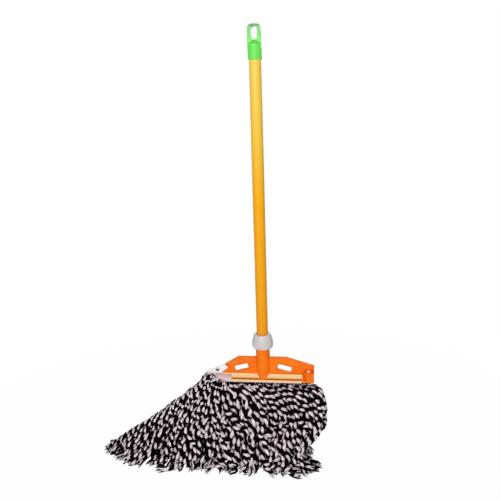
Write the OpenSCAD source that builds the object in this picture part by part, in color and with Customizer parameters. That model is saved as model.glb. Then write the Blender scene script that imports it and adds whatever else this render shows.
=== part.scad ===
// String mop: a tube handle locked into a two-jaw clamp that grips a refill of twisted yarn.
// X runs along the clamp, Y from its front to its back, Z up. Millimetres.
// The origin is on the floor, under the axis of the handle.

/* [Handle] */
// Outside diameter of the steel tube
tube_d = 25; // [22:0.5:28]
// Wall of the steel tube
tube_wall = 1; // [0.6:0.1:1.6]
// Length of the steel tube
tube_l = 681.5; // [400:0.5:1300]
// Flange of the plug that closes the tube's lower end
plug_flange = 2; // [1:0.5:4]
// Length of the plug inside the tube
plug_l = 16; // [8:1:30]

/* [Hanging cap] */
// Wall of the cap round the tube
cap_wall = 1.7; // [1.2:0.1:3]
// Length of tube that the cap covers
cap_sleeve = 26; // [15:1:45]
// Solid web between the tube's end and the hanging slot
cap_web = 12; // [6:1:20]
// Thickness of the hanging loop, front to back
loop_t = 13; // [9:0.5:20]
// Width of the hanging slot
slot_w = 11.5; // [7:0.5:14]
// Height of the hanging slot
slot_h = 25.5; // [16:0.5:40]
// Plastic above the hanging slot
slot_roof = 4.5; // [3:0.5:10]

/* [Socket and lock nut] */
// Wall of the socket round the handle
socket_wall = 2.45; // [2:0.05:4]
// Depth from the socket's shoulder to the seat of the handle
socket_depth = 43.5; // [30:0.5:70]
// Floor under the handle's seat
socket_floor = 3; // [2:0.5:6]
// Rise of the socket's shoulder above the plate's top edge
socket_rise = 19.5; // [13:0.5:26]
// Height of the threaded neck above the shoulder
neck_h = 14; // [10:0.5:22]
// Height of the lock nut
nut_h = 33; // [26:0.5:42]
// Greatest diameter of the lock nut
nut_d = 46.5; // [42:0.5:58]
// Diameter of the lock nut's top rim
nut_top_d = 36.5; // [33:0.5:44]
// Number of grip flutes round the lock nut
nut_flutes = 20; // [12:2:30]
// Travel of the collet when the nut is slackened
collet_travel = 1.5; // [1:0.1:2]
// Number of slits that let the collet close
collet_slits = 6; // [3:1:8]

/* [Clamp] */
// Half of the plate's straight top edge
plate_top = 53; // [40:1:70]
// Height of the plate above the ledge
plate_h = 40.5; // [35:0.5:52]
// Thickness of the jaws' plates and slopes
jaw_wall = 3.3; // [2.5:0.1:4.5]
// Distance from the handle's axis to the right end of the clamp
right_end = 113; // [105:1:140]
// Height of the plate's right end
right_h = 22; // [18:1:28]
// Distance from the handle's axis to the upper tip of the notch
notch_tip = 86; // [80:1:100]
// Depth of the V notch that takes the latch
notch_depth = 9; // [6:0.5:12]
// Height of the notch's point above the ledge
notch_h = 12.4; // [11:0.2:16]
// Left end of the ledge
ledge_left = 70; // [62:1:74]
// How far the ledge slopes out
ledge_out = 14; // [11:0.5:18]
// How far the ledge slopes down
ledge_drop = 9; // [7:0.5:12]
// Height of the lip that grips the headband
lip_h = 4; // [3.5:0.5:8]
// Thickness of the lip
lip_t = 3.6; // [3:0.1:5]
// Height of the rear jaw's flange behind the plate
flange_h = 4; // [3:0.5:5]
// Spacing of the gripping teeth along the lips
tooth_pitch = 8; // [6:0.5:14]
// Height of one gripping tooth
tooth_h = 2; // [1:0.25:3]

/* [Plate slots] */
// Length of a slot in the plate
window_l = 31; // [20:0.5:36]
// Height of a slot in the plate
window_h = 12; // [8:0.5:13]
// Distance from the handle's axis to the middle of a slot
window_x = 48; // [42:0.5:56]
// Height of the middle of a slot above the ledge
window_z = 15; // [13:0.5:19]
// Fall of the slot away from the socket, in degrees
window_tilt = 15; // [0:1:20]
// Width of the raised border round the plate and its slots
border_w = 2; // [1.2:0.1:3]
// Height of the raised border
border_h = 1.2; // [0.6:0.1:2]

/* [Hinge and latch] */
// Distance from the handle's axis to the hinge pin
hinge_x = 101; // [99:0.5:104]
// Radius of the hinge knuckles
knuckle_r = 8.5; // [7:0.1:9]
// Diameter of the hinge pin
hinge_pin_d = 5; // [4:0.5:6]
// Height of the top knuckle
knuckle_top_h = 8.5; // [6:0.5:12]
// Distance from the handle's axis to the latch pin
latch_x = 103; // [101:0.5:112]
// Radius of the latch's knuckles
latch_r = 4; // [3.5:0.1:5]
// Diameter of the latch pin
latch_pin_d = 3; // [2:0.5:4]
// Height of each knuckle on the latch
latch_knuckle_h = 2.7; // [2.5:0.1:4]
// Distance from the handle's axis to the tip of the latch's thumb flap
flap_left = 130; // [120:1:138]

/* [Headband] */
// Distance from the handle's axis to the headband's left end
band_left = 128; // [122:1:140]
// Distance from the handle's axis to the headband's right end
band_right = 86; // [78:1:86]
// Height of headband that shows below the lips
band_show = 7; // [4:0.5:12]

/* [Yarn] */
// Height of the yarn below the headband
yarn_h = 184; // [140:1:240]
// How far the left strands reach past the headband
left_reach = 258; // [120:1:280]
// How far the front and back strands splay on the floor
splay = 86; // [70:1:130]
// How far the right strands bulge out
right_bulge = 44; // [20:1:55]
// Number of locks of yarn along each side
locks = 6; // [6:1:6]
// Number of lobes on the face of one lock
lobes = 4; // [2:1:5]
// Depth of the lobes
lobe_h = 4; // [1:0.5:6]

/* [Hidden] */
$fn = 96;

// Clearances between neighbouring pieces
run_gap = 0.3;
pin_gap = 0.06;
glue_gap = 0.05;
soft_gap = 0.5;
latch_gap = 0.6;
// Overshoot of a cut past the face that it opens
cut = 1;

// Heights, from the floor up
band_z = yarn_h + run_gap;
lip_z = band_z + band_show;
lip_top = lip_z + lip_h;
plate_z = lip_top + ledge_drop;
plate_top_z = plate_z + plate_h;
shoulder_z = plate_top_z + socket_rise;
seat_z = shoulder_z - socket_depth;
socket_z = seat_z - socket_floor;
neck_z = shoulder_z + neck_h;
nut_z = shoulder_z + cut;
plug_z = seat_z + run_gap / 3;
tube_z = plug_z + plug_flange;
cap_z = tube_z + tube_l - cap_sleeve;
slot_z = cap_z + cap_sleeve + cap_web;

// Radii round the handle's axis
tube_r = tube_d / 2;
bore_r = tube_r + run_gap;
socket_r = bore_r + socket_wall;
neck_r = socket_r - 0.4;
collet_r = neck_r - 0.7;
collet_seat = 6;
collet_flange = 4;
cap_r = tube_r + glue_gap + cap_wall;

// Front and back faces of the front jaw; the rear jaw mirrors them
jaw_in = run_gap;
jaw_out = jaw_in + jaw_wall;
lip_out = jaw_out + ledge_out;
lip_in = lip_out - lip_t;
slope_z0 = lip_top - 1.2;
slope_z1 = plate_z - 2.2;
band_half = lip_in - tooth_h - run_gap;
ridge_half = 2.5;

// Yarn: overhang past the headband's right end, its lean on the floor, the forward swing of the
// left end, and half the thickness of the two ends
yarn_over = 14;
yarn_lean = 8;
yarn_forward = 6;
yarn_end = 6;

// Hinge levels and place
hinge_y = -(lip_out + 0.4 - knuckle_r);
low_knuckle = 6.4;
knuckle_z = lip_z + low_knuckle + run_gap;
top_knuckle_z = plate_z + 2.7;
mid_knuckle_h = top_knuckle_z - run_gap - knuckle_z;
pin_top = top_knuckle_z + knuckle_top_h;
pin_head = 1.6;
washer_h = 1.2;
arm_x = band_right + cut;

// Latch levels and place
latch_y = -(jaw_in + jaw_wall / 2);
latch_z = plate_z - 1;
notch_mid = plate_z + notch_h;

// Direction and corner helpers for outlines that run counter-clockwise
function unit(v) = v / norm(v);
function inward(a, b) = let (d = unit(b - a)) [-d[1], d[0]];
function miter(a, b, c) = let (m = inward(a, b), n = inward(b, c)) (m + n) / (1 + m * n);
function before(p, i) = p[(i + len(p) - 1) % len(p)];
function after(p, i) = p[(i + 1) % len(p)];
function inset(p, d) = [for (i = [0 : len(p) - 1]) p[i] + d * miter(before(p, i), p[i], after(p, i))];
function turn(a, b, c) = let (m = inward(a, b), n = inward(b, c)) atan2(m[0] * n[1] - m[1] * n[0], m * n);
function arc_at(a, b, c, r, steps) =
    let (t = turn(a, b, c), s = t < 0 ? -r : r, m = inward(a, b), start = atan2(m[1], m[0]))
    [for (i = [0 : steps]) let (w = start + t * i / steps) b + s * (miter(a, b, c) - [cos(w), sin(w)])];
function rounded(p, r, steps = 5) =
    [for (i = [0 : len(p) - 1]) each arc_at(before(p, i), p[i], after(p, i), r, steps)];

// Prism with its outline in X and Z, from the front face at y0 back to y1
module upright(outline, y0, y1) {
    translate([0, y1, 0]) rotate([90, 0, 0]) linear_extrude(height = y1 - y0) polygon(outline);
}

// Prism with its outline in Y and Z, from x0 to x1
module beam(outline, x0, x1) {
    translate([x0, 0, 0]) rotate([90, 0, 90]) linear_extrude(height = x1 - x0) polygon(outline);
}

// ---- Handle ----

module slot_outline(w, h) {
    translate([0, w / 2]) circle(d = w);
    translate([-w / 2, w / 2]) square([w, h - w]);
    translate([0, h - w / 2]) circle(d = w);
}

module hang_cap() {
    loop_half = cap_r - 0.2;
    loop_z = cap_z + cap_sleeve - 6;
    loop_top = slot_z + slot_h + slot_roof;
    corner = loop_half * 0.68;
    color("limegreen") difference() {
        union() {
            translate([0, 0, cap_z]) cylinder(h = cap_sleeve + 4, r = cap_r);
            translate([0, 0, cap_z + cap_sleeve + 4]) cylinder(h = 7, r1 = cap_r, r2 = loop_t / 2);
            translate([0, loop_t / 2, 0]) rotate([90, 0, 0]) linear_extrude(height = loop_t) {
                translate([-loop_half, loop_z]) square([2 * loop_half, loop_top - corner - loop_z]);
                translate([corner - loop_half, loop_top - corner - cut])
                    square([2 * (loop_half - corner), corner + cut]);
                for (side = [-1, 1])
                    translate([side * (loop_half - corner), loop_top - corner]) circle(r = corner);
            }
        }
        translate([0, 0, cap_z - cut]) cylinder(h = cap_sleeve + cut, r = tube_r + glue_gap);
        translate([0, cap_r, slot_z]) rotate([90, 0, 0])
            linear_extrude(height = 2 * cap_r) slot_outline(slot_w, slot_h);
    }
}

module handle_tube() {
    color("orange") translate([0, 0, tube_z]) difference() {
        cylinder(h = tube_l - glue_gap, r = tube_r);
        translate([0, 0, -cut]) cylinder(h = tube_l + 2 * cut, r = tube_r - tube_wall);
    }
}

module tube_plug() {
    color("dimgray") translate([0, 0, plug_z]) {
        cylinder(h = plug_flange, r = tube_r - glue_gap);
        cylinder(h = plug_flange + plug_l, r = tube_r - tube_wall - glue_gap);
    }
}

// ---- Lock nut and collet ----

// Outer line of the nut: a bell that swells above its foot and narrows to the rim
function nut_line() = let (r1 = nut_d / 2, r2 = nut_top_d / 2, foot = r1 - 6.2, swell = nut_h * 0.24) concat(
    [for (a = [-90 : 15 : 0]) [foot + (r1 - foot) * cos(a), swell + swell * sin(a)]],
    [for (i = [1 : 6]) let (a = 90 * i / 6) [r2 + (r1 - r2) * cos(a), swell + (nut_h - 1.5 - swell) * i / 6]],
    [[r2 - 0.6, nut_h]]
);

module lock_nut() {
    inner_r = neck_r + run_gap;
    room = neck_z + collet_flange + collet_travel + 2 * run_gap - nut_z;
    color("gainsboro") translate([0, 0, nut_z]) difference() {
        rotate_extrude() polygon(concat([[0, 0]], nut_line(), [[0, nut_h]]));
        translate([0, 0, -cut]) cylinder(h = room + cut, r = inner_r);
        translate([0, 0, -cut]) cylinder(h = nut_h + 2 * cut, r = tube_r + soft_gap);
        for (i = [0 : nut_flutes - 1])
            rotate(i * 360 / nut_flutes) translate([nut_d / 2 + 1.4, 0, 3])
                cylinder(h = nut_h, r = 2.2, $fn = 24);
    }
}

module collet() {
    color("whitesmoke") difference() {
        union() {
            translate([0, 0, neck_z + run_gap]) cylinder(h = collet_flange, r = collet_r);
            translate([0, 0, neck_z - collet_seat + run_gap])
                cylinder(h = collet_seat, r1 = bore_r + 0.6 - run_gap, r2 = collet_r - run_gap - 0.3);
        }
        translate([0, 0, neck_z - collet_seat - cut])
            cylinder(h = collet_seat + collet_flange + 3 * cut, r = tube_r + run_gap);
        for (i = [0 : collet_slits - 1]) rotate(i * 360 / collet_slits)
            translate([0, -0.6, neck_z - collet_seat - cut]) cube([2 * tube_r, 1.2, collet_seat + 2]);
    }
}

// ---- Clamp ----

// Outline of the upright plate: notched at the left, long slope and square end at the right
function plate_outline() = [
    [arm_x - soft_gap, plate_z], [arm_x - soft_gap, top_knuckle_z], [right_end, top_knuckle_z],
    [right_end, plate_z + right_h], [plate_top, plate_top_z], [-plate_top, plate_top_z],
    [-notch_tip, notch_mid + notch_depth * 0.95], [notch_depth - notch_tip, notch_mid],
    [-notch_tip - notch_depth, plate_z - 2], [-ledge_left, plate_z - 2]
];

function window_outline(grow = 0) = let (l = window_l / 2 + grow, h = window_h / 2 + grow)
    rounded([[-l, -h], [l, -h], [l, h], [-l, h]], 2 + grow, 4);

module at_windows() {
    for (side = [-1, 1])
        translate([side * window_x, 0, plate_z + window_z]) rotate([0, side * window_tilt, 0]) children();
}

// Section of a jaw: flange, slope and gripping lip, drawn for the rear one
function jaw_section(flange) = [
    [jaw_in, slope_z1], [lip_in, slope_z0], [lip_in, lip_z], [lip_out, lip_z], [lip_out, lip_top],
    [jaw_out, plate_z], [jaw_out, plate_z + flange], [jaw_in, plate_z + flange]
];

function flipped(p) = [for (i = [len(p) - 1 : -1 : 0]) [-p[i][0], p[i][1]]];

// Row of wedge teeth on the inner face of the rear lip, pointing at the headband
module teeth(x0, x1) {
    count = floor((x1 - x0) / tooth_pitch);
    for (i = [0 : count - 1])
        translate([x0 + (i + 0.5) * (x1 - x0) / count, lip_in + 0.5, lip_z + 0.5])
            linear_extrude(height = lip_h - 1.5) polygon([[-1.6, 0], [0, -tooth_h - 0.5], [1.6, 0]]);
}

// Socket with a shoulder under its neck; its front runs down into a keel on the ledge
module socket_body() {
    start = socket_z + 3.5;
    low = lip_top + 0.5;
    difference() {
        intersection() {
            rotate_extrude() polygon([
                [0, low], [socket_r, low], [socket_r, shoulder_z],
                [neck_r, shoulder_z], [neck_r, neck_z], [0, neck_z]
            ]);
            upright(concat(
                [[socket_r + cut, neck_z + cut], [-socket_r - cut, neck_z + cut], [-socket_r - cut, start]],
                [for (a = [180 : 10 : 360]) [socket_r * cos(a), start + (start - low) * sin(a)]],
                [[socket_r + cut, start]]
            ), -socket_r - cut, socket_r + cut);
        }
        translate([-2 * socket_r, -jaw_out, 0]) cube([4 * socket_r, 4 * socket_r, socket_z]);
    }
}

// Two knuckles in a frame that closes the clamp's right end, and the ledge's end beside them
module front_knuckles() {
    web_x = arm_x - soft_gap;
    web_h = knuckle_top_h - 2;
    turn_r = knuckle_r + run_gap;
    apron_x = hinge_x - turn_r;
    translate([hinge_x, hinge_y, top_knuckle_z]) cylinder(h = knuckle_top_h, r = knuckle_r);
    translate([0, 0, top_knuckle_z]) linear_extrude(height = web_h) polygon([
        [web_x + 0.5, -jaw_in - 1], [hinge_x - knuckle_r + 1.5, hinge_y - 4],
        [hinge_x + knuckle_r - 1.5, hinge_y - 4], [right_end - 1, -jaw_in - 1]
    ]);
    translate([hinge_x, hinge_y, lip_z]) cylinder(h = low_knuckle, r = knuckle_r);
    translate([web_x - 2, -lip_out, lip_z]) cube([right_end - web_x + 2, lip_t, lip_h]);
    translate([web_x, -lip_out + 1, lip_z]) cube([right_end - web_x - 2, lip_out - jaw_out, lip_h - 1]);
    translate([web_x, -jaw_out - 1, lip_z]) cube([right_end - web_x - 2, 3, lip_h - 1]);
    translate([hinge_x, -lip_out, top_knuckle_z]) cube([right_end - hinge_x, lip_out - jaw_in - 1, web_h]);
    difference() {
        translate([hinge_x + 2, -lip_out, lip_z])
            cube([right_end - hinge_x - 2, lip_t - 0.2, top_knuckle_z - lip_z + 1]);
        translate([hinge_x, hinge_y, knuckle_z - run_gap])
            cylinder(h = mid_knuckle_h + 2 * run_gap, r = turn_r);
    }
    intersection() {
        beam(flipped(jaw_section(1)), web_x - 1, apron_x);
        linear_extrude(height = plate_top_z) polygon([
            [web_x - 1, -jaw_in - 0.4], [apron_x, hinge_y - 0.6],
            [apron_x, -lip_out], [web_x - 1, -lip_out]
        ]);
    }
}

module gussets() {
    for (side = [-1, 1])
        upright([for (p = [[12, 10], [30, 30], [30, 33], [12, 33]]) [side * p[0], plate_z + p[1]]],
                -jaw_in - 1, 3);
}

module front_jaw() {
    plate = plate_outline();
    color("darkorange") difference() {
        union() {
            upright(rounded(plate, 1.2), -jaw_out, -jaw_in);
            difference() {
                upright(rounded(plate, 1.2), -jaw_out - border_h, -jaw_out + 1);
                upright(rounded(inset(plate, border_w), 1), -jaw_out - border_h - cut, -jaw_out + 1 + cut);
            }
            at_windows() upright(window_outline(border_w), -jaw_out - border_h, -jaw_out + 1);
            beam(flipped(jaw_section(1)), -ledge_left, arm_x - soft_gap);
            mirror([0, 1, 0]) teeth(-ledge_left, arm_x - soft_gap);
            socket_body();
            gussets();
            front_knuckles();
        }
        at_windows() upright(window_outline(), -jaw_out - border_h - cut, 0);
        translate([0, 0, seat_z]) cylinder(h = neck_z - seat_z + cut, r = bore_r);
        translate([0, 0, neck_z - collet_seat]) cylinder(h = collet_seat, r1 = bore_r + 0.6, r2 = collet_r);
        translate([0, 0, neck_z - glue_gap]) cylinder(h = cut, r = collet_r);
        beam([[-lip_in, 0], [0, 0], [0, slope_z1], [-jaw_in, slope_z1], [-lip_in, slope_z0]],
             -socket_r, socket_r);
        translate([hinge_x, hinge_y, 0]) cylinder(h = pin_top + cut, r = hinge_pin_d / 2 + pin_gap);
    }
}

module rear_jaw() {
    ear_z = latch_z + 2 * (latch_knuckle_h + run_gap);
    web_y = latch_y + latch_r + run_gap;
    left_end = notch_tip + notch_depth + 1;
    color("darkorange") difference() {
        union() {
            beam(jaw_section(flange_h), -left_end, arm_x + 2);
            teeth(-left_end, arm_x - 1);
            translate([hinge_x, hinge_y, knuckle_z]) cylinder(h = mid_knuckle_h, r = knuckle_r);
            translate([0, 0, knuckle_z]) linear_extrude(height = mid_knuckle_h) polygon([
                [arm_x, lip_in - 1], [arm_x, jaw_in], [hinge_x - knuckle_r + 0.5, hinge_y - 1],
                [hinge_x, hinge_y - knuckle_r + 2], [hinge_x + knuckle_r - 2, hinge_y + 1],
                [hinge_x, lip_in - 1]
            ]);
            for (z = [latch_z, ear_z]) translate([-latch_x, latch_y, z]) {
                cylinder(h = latch_knuckle_h, r = latch_r);
                translate([-latch_r / 2, 0, 0]) cube([latch_r, jaw_out + 1 - latch_y, latch_knuckle_h]);
            }
            translate([-latch_x - latch_r / 2, web_y, latch_z])
                cube([latch_x + latch_r / 2 - left_end + 2, jaw_out + 1 - web_y,
                      ear_z + latch_knuckle_h - latch_z]);
        }
        translate([hinge_x, hinge_y, 0]) cylinder(h = pin_top, r = hinge_pin_d / 2 + pin_gap);
        translate([-latch_x, latch_y, 0]) cylinder(h = pin_top, r = latch_pin_d / 2 + pin_gap);
    }
}

module hinge_pin() {
    color("silver") translate([hinge_x, hinge_y, 0]) {
        translate([0, 0, lip_z - washer_h - 1])
            cylinder(h = pin_top + 0.5 - lip_z + washer_h + 1, r = hinge_pin_d / 2);
        translate([0, 0, pin_top])
            cylinder(h = pin_head, r1 = hinge_pin_d / 2 + 1.8, r2 = hinge_pin_d / 2 + 1);
    }
}

module pin_washer() {
    color("silver") translate([hinge_x, hinge_y, lip_z - washer_h]) difference() {
        cylinder(h = washer_h, r = hinge_pin_d / 2 + 2);
        translate([0, 0, -cut]) cylinder(h = washer_h + 2 * cut, r = hinge_pin_d / 2 + glue_gap);
    }
}

// Thumb flap whose wedge nose lies in the plate's notch; a room in it clears the knuckles and the pin's head
module latch_tab() {
    barrel_z = latch_z + latch_knuckle_h + run_gap;
    barrel_h = latch_knuckle_h - run_gap;
    low = latch_z - 1;
    room = 3 * (latch_knuckle_h + run_gap) + 2;
    flap = inset([
        [-notch_tip, notch_mid + notch_depth * 0.95], [-flap_left, low + 4], [-flap_left, low],
        [-notch_tip - notch_depth, low], [notch_depth - notch_tip, notch_mid]
    ], latch_gap);
    color("aliceblue") difference() {
        union() {
            difference() {
                upright(flap, -jaw_out + 0.1, -jaw_in - 0.1);
                translate([-latch_x - latch_r - run_gap, -jaw_out, low])
                    cube([2 * (latch_r + run_gap), jaw_out, room]);
            }
            translate([-latch_x, latch_y, barrel_z]) cylinder(h = barrel_h, r = latch_r);
            translate([-latch_x - latch_r - 2, latch_y - 1.5, barrel_z])
                cube([2 * latch_r + 4, 3, barrel_h]);
        }
        translate([-latch_x, latch_y, 0]) cylinder(h = low + room, r = latch_pin_d / 2 + pin_gap);
    }
}

module latch_pin() {
    span = 3 * latch_knuckle_h + 2 * run_gap;
    color("dimgray") translate([-latch_x, latch_y, latch_z]) {
        cylinder(h = span + 0.4, r = latch_pin_d / 2);
        translate([0, 0, span]) cylinder(h = 1, r = latch_pin_d / 2 + 0.8);
    }
}

// ---- Refill ----

function slope_at(y) = slope_z1 + (slope_z0 - slope_z1) * (y - jaw_in) / (lip_in - jaw_in);

module headband() {
    half = [[ridge_half, slope_at(ridge_half) - soft_gap], [band_half, slope_at(band_half) - soft_gap]];
    color("mistyrose") beam([
        [-band_half, band_z], [band_half, band_z], half[1], half[0],
        [-half[0][0], half[0][1]], [-half[1][0], half[1][1]]
    ], -band_left, band_right);
}

// Yarn surface: u runs from the left end to the right, t from the headband down to the floor
function yarn_x(u, t) = -band_left + u * (band_left + band_right + yarn_over)
    - left_reach * pow(1 - u, 2.6) * t
    + pow(u, 4) * (right_bulge * sin(180 * pow(min(t / 0.76, 1), 0.75)) + yarn_lean * t);
function yarn_mid(u, t) = -yarn_forward * pow(1 - u, 3) * t;
function left_round(u) = sqrt(1 - pow(1 - min(u / 0.35, 1), 2));
function right_round(u) = sqrt(1 - pow(max((u - 0.8) / 0.2, 0), 2));
function yarn_half(u, t) =
    yarn_end + (band_half - yarn_end + (splay - band_half) * pow(t, 0.8)) * left_round(u) * right_round(u);

// Slice of lock k at depth t: pairs of points, one on the lobed outer face and one on the flat middle face
function lock_slice(k, side, t) =
    let (steps = 4 * lobes)
    [for (i = [0 : steps])
        let (u = (k + i / steps) / locks,
             x = yarn_x(u, t) + (i == 0 ? soft_gap / 2 : i == steps ? -soft_gap / 2 : 0),
             groove = lobe_h * t * (1 - abs(sin(180 * i / 4))),
             z = yarn_h * (1 - t))
        each [
            [x, yarn_mid(u, t) + side * (yarn_half(u, t) - groove), z],
            [x, yarn_mid(u, t) + side * soft_gap / 2, z]
        ]
    ];

// Loft of the slices: strips of flat quads close its top and floor, so every face is convex
module yarn_lock(k, side) {
    levels = 7;
    steps = 4 * lobes;
    row = 2 * (steps + 1);
    slices = [for (j = [0 : levels]) lock_slice(k, side, j / levels)];
    last = 2 * steps;
    bottom = levels * row;
    faces = [
        for (i = [0 : 2 : last - 2]) each [
            [i, i + 1, i + 3, i + 2],
            [bottom + i, bottom + i + 2, bottom + i + 3, bottom + i + 1]
        ],
        for (j = [0 : row : bottom - row]) each [
            for (i = [0 : 2 : last - 2]) each [
                [j + i, j + i + 2, j + i + row + 2], [j + i, j + i + row + 2, j + i + row],
                [j + i + 1, j + i + row + 3, j + i + 3], [j + i + 1, j + i + row + 1, j + i + row + 3]
            ],
            [j, j + row, j + row + 1], [j, j + row + 1, j + 1],
            [j + last, j + last + 1, j + last + row + 1], [j + last, j + last + row + 1, j + last + row]
        ]
    ];
    color(k % 2 == 0 ? "thistle" : "dimgray")
        polyhedron(points = [for (s = slices) each s],
                   faces = side < 0 ? faces : [for (f = faces) [for (i = [len(f) - 1 : -1 : 0]) f[i]]],
                   convexity = 6);
}

hang_cap();
handle_tube();
tube_plug();
lock_nut();
collet();
front_jaw();
rear_jaw();
hinge_pin();
pin_washer();
latch_tab();
latch_pin();
headband();
yarn_lock(0, -1);  // yarn_front_1
yarn_lock(1, -1);  // yarn_front_2
yarn_lock(2, -1);  // yarn_front_3
yarn_lock(3, -1);  // yarn_front_4
yarn_lock(4, -1);  // yarn_front_5
yarn_lock(5, -1);  // yarn_front_6
yarn_lock(0, 1);  // yarn_back_1
yarn_lock(1, 1);  // yarn_back_2
yarn_lock(2, 1);  // yarn_back_3
yarn_lock(3, 1);  // yarn_back_4
yarn_lock(4, 1);  // yarn_back_5
yarn_lock(5, 1);  // yarn_back_6
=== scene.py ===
"""Looks of a string mop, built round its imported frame.

A coated tube handle stands in a hinged two-jaw clamp, which grips a refill of two-ply yarn sewn
into a cloth headband. Lengths are in metres, z is up, and the floor is at z = 0.
"""

import logging
import math
from dataclasses import dataclass
from enum import Enum
from typing import Any, Sequence

import bmesh
import bpy
import numpy as np
from mathutils import Matrix, Vector

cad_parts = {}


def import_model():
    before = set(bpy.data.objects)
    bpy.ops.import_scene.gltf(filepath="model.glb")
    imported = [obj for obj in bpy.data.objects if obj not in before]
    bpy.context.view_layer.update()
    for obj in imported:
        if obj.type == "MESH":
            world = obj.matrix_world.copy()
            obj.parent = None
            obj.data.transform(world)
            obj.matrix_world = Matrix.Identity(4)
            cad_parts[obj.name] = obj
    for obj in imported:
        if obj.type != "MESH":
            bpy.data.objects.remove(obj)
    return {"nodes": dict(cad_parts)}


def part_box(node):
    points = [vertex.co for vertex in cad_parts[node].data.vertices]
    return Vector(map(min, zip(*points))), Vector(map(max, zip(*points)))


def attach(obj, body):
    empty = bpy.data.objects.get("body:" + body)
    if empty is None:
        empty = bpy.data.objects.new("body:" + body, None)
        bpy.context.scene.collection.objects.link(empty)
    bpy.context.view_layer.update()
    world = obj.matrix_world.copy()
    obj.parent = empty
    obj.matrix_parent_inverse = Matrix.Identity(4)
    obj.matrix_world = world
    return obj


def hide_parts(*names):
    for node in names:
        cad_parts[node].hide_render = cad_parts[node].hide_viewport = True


log = logging.getLogger("mop")
Array = np.ndarray
Run = tuple[np.ndarray, ...]
Chance = np.random.Generator
Nodes = dict[str, bpy.types.Object]
SEED = 20
SETTLING_PASSES = 60
TURN = 2 * math.pi
YARN_ATTRIBUTES = ("girth", "turn", "along", "tone", "outward")
# How strongly a strand sways along x, y and z
SWAY_AXES = np.array((1.3, 0.8, 0.5))
# Shape of a loop over the band's left end at a strand's first levels, and of its sinking elsewhere
LOOP = np.array(((0.8, 0.2, 0.75), (0.6, 0.3, 1.0), (0.4, 0.3, 0.95),
                 (0.25, 0.2, 0.7), (0.2, 0.1, 0.4), (0.1, 0.0, 0.15)))
SINK = np.array((1.0, 0.85, 0.65, 0.45, 0.25, 0.1))
# Half widths of a frayed yarn down its length, as shares of its strand's
FRAY_WIDTHS = np.array((0.5, 0.5, 0.47, 0.42, 0.32, 0.12))


class Dye(Enum):
    """Colours of the mop's pieces: red, green and blue as painters write them, 0 to 255."""

    ORANGE = 252, 124, 0
    ORANGE_DEEP = 246, 110, 0
    # Painted shade on the edges of the orange jaws
    ORANGE_EDGE_SHADE = 214, 96, 8
    # Painted highlight on the jaws' ledge, paler above and deeper towards its lip
    LEDGE_LIT = 255, 238, 178
    LEDGE_LIT_LOW = 255, 213, 146
    # Painted shade on the lip of the jaws' ledge
    LIP_SHADE = 198, 103, 27
    # Painted shade on the raised borders of the jaws' plate
    BORDER_SHADE = 222, 104, 6
    AMBER_LOW = 240, 156, 0
    AMBER = 247, 174, 4
    # Painted light: the tube's paler, yellower tones towards its top; the highest also colours its marks
    AMBER_LIT = 246, 200, 66
    AMBER_HIGH = 247, 210, 86
    GREEN = 118, 238, 96
    GREEN_PALE = 126, 206, 114
    # Painted shade on the roof of the cap's slot
    GREEN_ROOF_SHADE = 96, 158, 88
    GREY = 214, 210, 207
    GREY_DEEP = 200, 196, 192
    WHITE = 252, 248, 247
    WHITE_DEEP = 242, 238, 238
    BLACK = 30, 30, 32
    ZINC = 205, 205, 200
    # The latch pin's own colour, and painted shade on the knuckle beside it
    DARK_PIN_AND_SHADE = 30, 27, 29
    PINK = 248, 228, 230
    # Deeper pink of the cloth's stains, and painted shade in the hollows of its weave
    PINK_DEEP = 228, 184, 190
    YARN_PALE = 252, 236, 244
    YARN_DARK = 6, 2, 3
    FLOOR = 246, 245, 247
    FLOOR_PALE = 250, 249, 250
    PURE_WHITE = 255, 255, 255

    @property
    def linear(self) -> tuple[float, ...]:
        """The colour in linear light, 0 to 1."""
        shares = (value / 255 for value in self.value)
        return tuple(v / 12.92 if v <= 0.04045 else ((v + 0.055) / 1.055) ** 2.4 for v in shares)


# ---- Node sheets ----


class Term:
    """A node's output that can be used in a Python expression."""

    def __init__(self, sheet: "NodeSheet", socket: bpy.types.NodeSocket) -> None:
        """Keeps the sheet that the socket is on, and the socket."""
        self.sheet = sheet
        self.socket = socket

    def out(self, name: str) -> "Term":
        """Another output of the same node, by name."""
        return Term(self.sheet, self.socket.node.outputs[name])

    def do(self, operation: str, *values: Any) -> "Term":
        """Adds one Math node, with this term in its first socket and the values in the next."""
        sockets = dict(enumerate((self, *values)))
        return self.sheet.add("ShaderNodeMath", sockets, operation=operation)

    def __add__(self, other: Any) -> "Term":
        """This plus other."""
        return self.do("ADD", other)

    def __sub__(self, other: Any) -> "Term":
        """This less other."""
        return self.do("SUBTRACT", other)

    def __rsub__(self, other: Any) -> "Term":
        """Other less this."""
        return self * -1 + other

    def __mul__(self, other: Any) -> "Term":
        """This times other."""
        return self.do("MULTIPLY", other)

    def __truediv__(self, other: Any) -> "Term":
        """This over other."""
        return self.do("DIVIDE", other)

    def __pow__(self, other: Any) -> "Term":
        """This to the power of other."""
        return self.do("POWER", other)

    def __abs__(self) -> "Term":
        """This without its sign."""
        return self.do("ABSOLUTE")

    def cos(self) -> "Term":
        """The cosine of this."""
        return self.do("COSINE")

    def sin(self) -> "Term":
        """The sine of this."""
        return self.do("SINE")

    def rise(self, low: float, high: float) -> "Term":
        """A smooth step of this, from 0 at low to 1 at high, which may be the lower of the two."""
        values = {0: self, 1: low, 2: high, 3: 0.0, 4: 1.0}
        return self.sheet.add("ShaderNodeMapRange", values, interpolation_type="SMOOTHSTEP")


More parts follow.
